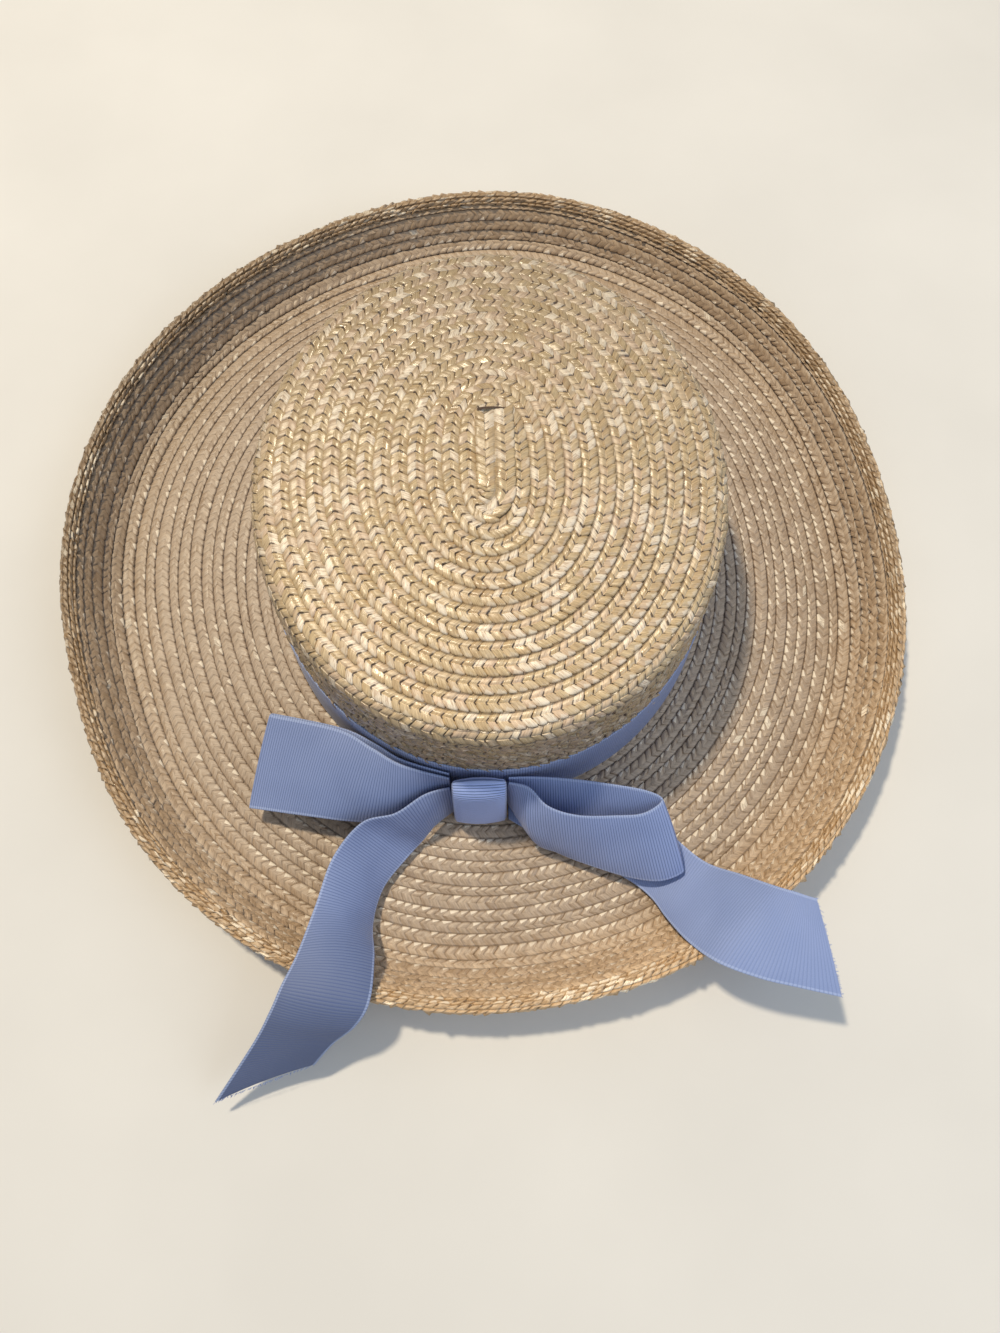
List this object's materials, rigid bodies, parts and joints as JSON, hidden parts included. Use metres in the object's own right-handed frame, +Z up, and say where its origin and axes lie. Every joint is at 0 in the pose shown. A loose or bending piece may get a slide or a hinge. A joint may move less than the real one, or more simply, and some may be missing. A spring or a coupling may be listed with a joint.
{
  "type": "boater hat",
  "caption": "Oval straw hat with a low domed crown, a wide brim turned up at its edge, a ribbon band and a flat ribbon bow with two loops and two tails.",
  "frame": {"origin": "on the surface that the hat rests on, under the middle of its box; the crown's own axis is at x 3.9 mm, y 15.8 mm", "axes": "+Z up, crown up; -Y towards the bow; +X to the wearer's left when the bow is in front, which is the right of the picture"},
  "size_m": [0.327, 0.3716, 0.0764],
  "materials": {
    "straw_crown": "sewn straw braid, natural gold, glossy strands",
    "straw_brim": "sewn straw braid, natural beige, glossy strands",
    "ribbon": "matt ribbed grosgrain, periwinkle blue"
  },
  "bodies": {
    "root": {"crown": "straw_crown", "brim": "straw_brim", "edge_braid": "straw_brim", "hat_band": "ribbon", "bow_knot": "ribbon", "bow_loop_left": "ribbon", "bow_loop_right": "ribbon", "bow_tail_left": "ribbon", "bow_tail_right": "ribbon"}
  },
  "joints": []
}
